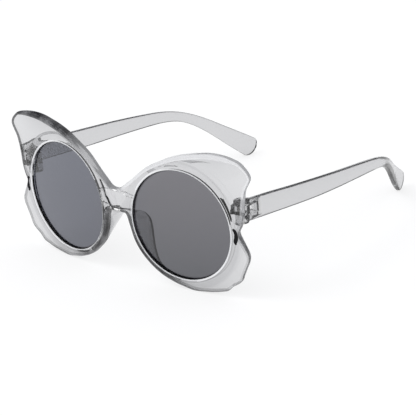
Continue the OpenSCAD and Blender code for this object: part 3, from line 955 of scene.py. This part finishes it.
def lens_axis_distance(tree, point):
    """The distance from the nearer lens axis."""
    parts = apart(tree, point)
    outward = work_out(tree, "ABSOLUTE", parts["X"])
    folded = tree.nodes.new("ShaderNodeCombineXYZ")
    tree.links.new(outward, folded.inputs[0])
    tree.links.new(parts["Z"], folded.inputs[2])
    radius = tree.nodes.new("ShaderNodeVectorMath")
    radius.operation = "DISTANCE"
    radius.inputs[1].default_value = (LENS_X * MM, 0, LENS_Z * MM)
    tree.links.new(folded.outputs[0], radius.inputs[0])
    return radius.outputs["Value"]


def clear_plastic(name, colour):
    """Clear, slightly wavy plastic, deeper in colour the further light goes in it; black, opaque
    and dull where a zone carries painted shade.
    """
    made, tree, shader = material(name, IOR=1.5)
    point = own_place(tree)
    surface_ripple(tree, shader, point, 60, 0.05, 0.0004)
    hinge, painted_shade = zone_mark(tree, "hinge"), zone_mark(tree, "painted_shade")
    depth = tree.nodes.new("ShaderNodeVolumeAbsorption")
    depth.inputs["Color"].default_value = PLASTIC_DEPTH
    depth.inputs["Density"].default_value = PLASTIC_DENSITY
    tree.links.new(depth.outputs["Volume"], tree.nodes["Material Output"].inputs["Volume"])
    wear = spread(tree, noise(tree, point, 220, 4), 0, 1, 0.0, 0.05)
    colour = change(tree, hinge, colour, HINGE_CLEAR)
    # Where the zone carries painted shade: black, rough, opaque and dull.
    looks = {
        "Base Color": change(tree, painted_shade, colour, SHADE_BLACK),
        "Roughness": change(tree, painted_shade, change(tree, hinge, wear, 0.06), 0.5),
        "Transmission Weight": change(tree, painted_shade, change(tree, hinge, 1.0, 0.9), 0.0),
        "Specular IOR Level": change(tree, painted_shade, 0.5, 0.1),
    }
    set_looks(tree, shader, looks)
    return made, tree, shader, point, looks


def edge_shade_reach(tree, point):
    """How far the painted shade on the edge shows: low on the rims, at the bridge and over one
    wing.
    """
    parts = apart(tree, point)
    low = spread(tree, parts["Z"], EDGE_HIGH, EDGE_LOW)
    outward = work_out(tree, "ABSOLUTE", parts["X"])
    return change(tree, low, spread(tree, parts["X"], *EDGE_SHADE_ABOVE),
                  spread(tree, outward, *EDGE_SHADE_BELOW))


def edge_shade_tone(tree, point):
    """The streaky tone of the painted shade on the edge, paler high up from one wing to the other.
    """
    parts = apart(tree, point)
    streaks = spread(tree, noise(tree, point, 130, 2), *SHADE_STREAKS)
    tone = change(tree, streaks, EDGE_SHADE_DARK, EDGE_SHADE_PALE)
    high = spread(tree, parts["Z"], EDGE_LOW, EDGE_HIGH)
    for start, end, shade in PALE_SHADE_STRETCHES:
        reach = product(tree, high, spread(tree, parts["X"], start, end))
        tone = change(tree, reach, tone, grey(shade))
    return tone


def moulded_front():
    """The front's plastic, with a painted highlight on the rounded front edges of the openings,
    painted shade on its edge and a deeper grey of painted shade low on the rims.
    """
    made, tree, shader, point, looks = clear_plastic("front_plastic_and_painted_light", FRONT_CLEAR)
    edge, lip_highlight, painted_shade = (zone_mark(tree, name) for name in ("edge", "lip_highlight", "painted_shade"))
    # Painted shade on the edge zone, as far as its reach goes.
    dark = product(tree, edge, edge_shade_reach(tree, point))
    distance = lens_axis_distance(tree, point)
    # Painted shade: a deeper grey low on the rims, with a fine darker line in it.
    rim = product(tree, spread(tree, distance, *RIM_SHADE_REACH),
                  spread(tree, apart(tree, point)["Z"], *RIM_SHADE_HEIGHT))
    line = product(tree, spread(tree, distance, *SHADE_LINE_START), spread(tree, distance, *SHADE_LINE_END))
    base = change(tree, rim, looks["Base Color"], LOW_RIM_SHADE)
    base = change(tree, product(tree, line, rim), base, RIM_SHADE_LINE)
    base = change(tree, dark, base, edge_shade_tone(tree, point))
    # Black painted shade in its zone.
    base = change(tree, painted_shade, base, SHADE_BLACK)
    roughness = change(tree, edge, looks["Roughness"], 0.1)
    # Where the edge carries painted shade the plastic is less clear.
    clearness = change(tree, dark, looks["Transmission Weight"], 0.45)
    # The rounded front edge's painted highlight: pale, rougher and less clear.
    set_looks(tree, shader, {
        "Base Color": change(tree, lip_highlight, base, HIGHLIGHT_WHITE),
        "Roughness": change(tree, lip_highlight, roughness, 0.15),
        "Transmission Weight": change(tree, lip_highlight, clearness, 0.35),
    })
    return made


def tinted_lens_and_painted_light():
    """Grey tint, a little bluer towards one side, with a painted reflection that makes it paler
    towards the top and painted shade that darkens it at the rim.
    """
    made, tree, shader = material("tinted_lens_and_painted_light", Roughness=0.0, IOR=1.5, Transmission_Weight=1.0)
    point = own_place(tree)
    surface_ripple(tree, shader, point, 25, 0.02, 0.0003)
    parts = apart(tree, point)
    # Paler towards the top: a painted reflection.
    upward_reflection = spread(tree, parts["Z"], *REFLECTION_HEIGHT)
    tint_and_reflection = change(tree, spread(tree, parts["X"], *TINT_WIDTH),
                       change(tree, upward_reflection, *RIGHT_TINT_AND_REFLECTION), change(tree, upward_reflection, *LEFT_TINT_AND_REFLECTION))
    # Painted shade darkens the tint near the rim.
    rim = spread(tree, lens_axis_distance(tree, point), *TINT_SHADE_REACH)
    set_looks(tree, shader, {"Base Color": change(tree, rim, tint_and_reflection, TINT_RIM_SHADE)})
    return made


def screw_steel():
    """Steel with a slightly uneven surface."""
    made, tree, shader = material("screw_steel", Base_Color=STEEL, Roughness=0.28, Metallic=1.0)
    surface_ripple(tree, shader, own_place(tree), 900, 0.25, 0.0001)
    return made


front_zones = [moulded_front()] * (len(ZONES) + 1)
temple_zones = [clear_plastic("temple_plastic_and_painted_shade", TEMPLE_CLEAR)[0]] * (len(ZONES) + 1)
tint = tinted_lens_and_painted_light()
steel = screw_steel()


# Pieces.
def make_front():
    front = as_piece("butterfly_front", both_halves(), *front_zones)
    combine(front, as_piece("pads", nose_pads(), *front_zones), "UNION")
    combine(front, as_piece("dents", curved_dents(), *front_zones), "DIFFERENCE")
    add_hinges(front)
    drop_slivers(front)
    smooth(front)
    mark_zones(front, "edge", "painted_shade", "lip_highlight", "hinge")
    finish_piece(front, "front", "front")


def make_temple(side, name):
    temple = as_piece("temple_arm_" + name, temple_solid(side), *temple_zones)
    add_fork(temple, side)
    drop_slivers(temple)
    mark_root(temple)
    mark_zones(temple, "painted_shade", "hinge")
    smooth(temple)
    finish_piece(temple, "temple_" + name, "temple_" + name)


def make_lens(side, name):
    lens = as_piece("round_lens_" + name, lens_solid(side), tint)
    smooth(lens)
    finish_piece(lens, "front", "lens_" + name)


def make_screw(side, name):
    screw = as_piece("slotted_screw_" + name, screw_solid(side), steel)
    combine(screw, driver_slot(side), "DIFFERENCE")
    drop_slivers(screw)
    smooth(screw)
    finish_piece(screw, "temple_" + name, "hinge_screw_" + name)


# Table and light.
TABLE_R = 0.6
TABLE_GREY = grey(0.9)
TABLE_GLOW = 0.75  # share of plain white in what looking rays see of the table
TABLE_FAR = grey(0.5, 0.005)
TABLE_FADE = (0.42, 0.60)  # distance from the middle
STUDIO_LIGHT = (0.95, 0.96, 1.0, 1)
STUDIO_STRENGTH = 1.05
STUDIO_DARK = grey(0.03, 0.004)
# The light band near the horizon: heights of a ray's direction over which it starts and ends.
BAND_START, BAND_END = (-0.30, -0.14), (0.16, 0.08)


def looking_rays(tree):
    """Marks what the camera sees straight, and what camera, mirror or glass rays see."""
    path = tree.nodes.new("ShaderNodeLightPath").outputs
    camera = path["Is Camera Ray"]
    seen = work_out(tree, "MAXIMUM", camera, path["Is Transmission Ray"])
    return camera, work_out(tree, "MAXIMUM", seen, path["Is Glossy Ray"])


def empty_tree(owner, output):
    """Clears the nodes of a material or world, and gives them a new output."""
    owner.use_nodes = True
    tree = owner.node_tree
    tree.nodes.clear()
    return tree, tree.nodes.new(output).inputs["Surface"]


def light_node(tree, kind, colour, strength=None):
    """A shader of one colour, or of a colour that comes from another node."""
    made = tree.nodes.new(kind)
    if isinstance(colour, bpy.types.NodeSocket):
        tree.links.new(colour, made.inputs["Color"])
    else:
        made.inputs["Color"].default_value = colour
    if strength is not None:
        made.inputs["Strength"].default_value = strength
    return made.outputs[0]


def mix_light(tree, surface, share, plain, looked):
    """Gives the output one shader for the light on surfaces and another for looking rays."""
    mix = tree.nodes.new("ShaderNodeMixShader")
    for socket, value in zip(mix.inputs, (share, plain, looked)):
        tree.links.new(value, socket)
    tree.links.new(mix.outputs[0], surface)


def make_table():
    """A white table; through the plastic it is white round the glasses and grey further out."""
    bm = bmesh.new()
    bmesh.ops.create_circle(bm, cap_ends=True, segments=96, radius=TABLE_R)
    made = bpy.data.materials.new("table_white")
    table = as_piece("table", bm, made)
    tree, surface = empty_tree(made, "ShaderNodeOutputMaterial")
    camera, looked = looking_rays(tree)
    reach = tree.nodes.new("ShaderNodeVectorMath")
    reach.operation = "LENGTH"
    tree.links.new(own_place(tree), reach.inputs[0])
    fade = spread(tree, reach.outputs["Value"], *TABLE_FADE)
    tone = change(tree, camera, change(tree, fade, WHITE, TABLE_FAR), WHITE)
    mix_light(tree, surface, product(tree, looked, TABLE_GLOW),
              light_node(tree, "ShaderNodeBsdfDiffuse", TABLE_GREY),
              light_node(tree, "ShaderNodeEmission", tone, 1.0))


def make_world():
    """White to the camera; in the plastic dark, but for a light band near the horizon."""
    world = bpy.data.worlds.new("studio")
    bpy.context.scene.world = world
    tree, surface = empty_tree(world, "ShaderNodeOutputWorld")
    camera, looked = looking_rays(tree)
    height = apart(tree, tree.nodes.new("ShaderNodeTexCoord").outputs["Generated"])["Z"]
    band = product(tree, spread(tree, height, *BAND_START), spread(tree, height, *BAND_END))
    tone = change(tree, camera, change(tree, band, STUDIO_DARK, WHITE), WHITE)
    mix_light(tree, surface, looked,
              light_node(tree, "ShaderNodeBackground", STUDIO_LIGHT, STUDIO_STRENGTH),
              light_node(tree, "ShaderNodeBackground", tone, 1.0))


def make_lamp(name, place, target, size, power):
    """A round soft lamp that doesn't show in the plastic."""
    data = bpy.data.lights.new(name, "AREA")
    data.shape = "DISK"
    data.size = size
    data.energy = power
    lamp = bpy.data.objects.new(name, data)
    bpy.context.scene.collection.objects.link(lamp)
    lamp.location = place
    lamp.visible_glossy = False
    lamp.visible_transmission = False
    lamp.rotation_euler = (Vector(target) - Vector(place)).to_track_quat("-Z", "Y").to_euler()


# The camera: angles in degrees, distance in metres, target in millimetres, lens in pixels.
AZIMUTH, ELEVATION, ROLL = 42.614, 22.209, -4.946
CAMERA_DISTANCE = 1.10024
CAMERA_TARGET = Vector((2.195, 54.787 + SHIFT_Y, 12.79))
LENS_PIXELS, PICTURE_PIXELS = 2341.93, 416
SENSOR = 36.0


def make_camera():
    azimuth, elevation, roll = (math.radians(a) for a in (AZIMUTH, ELEVATION, ROLL))
    back = Vector((math.sin(azimuth) * math.cos(elevation),
                   -math.cos(azimuth) * math.cos(elevation), math.sin(elevation)))
    right = Vector((math.cos(azimuth), math.sin(azimuth), 0))
    up = back.cross(right)
    side = right * math.cos(roll) + up * math.sin(roll)
    top = up * math.cos(roll) - right * math.sin(roll)
    data = bpy.data.cameras.new("camera")
    data.sensor_width = SENSOR
    data.lens = LENS_PIXELS / PICTURE_PIXELS * SENSOR
    data.clip_start = 0.01
    data.clip_end = 20
    camera = bpy.data.objects.new("camera", data)
    bpy.context.scene.collection.objects.link(camera)
    turn = Matrix((side, top, back)).transposed().to_4x4()
    stand = CAMERA_TARGET * MM + back * CAMERA_DISTANCE
    camera.matrix_world = Matrix.Translation(stand) @ turn
    bpy.context.scene.camera = camera


make_front()
for side, name in ((1, "left"), (-1, "right")):
    make_temple(side, name)
    make_lens(side, name)
    make_screw(side, name)
make_table()
make_world()
make_lamp("soft_key", place=(-0.35, -0.45, 0.9), target=(0, 0, 0.02), size=0.5, power=3)
make_camera()
bpy.context.scene.view_settings.view_transform = "Standard"
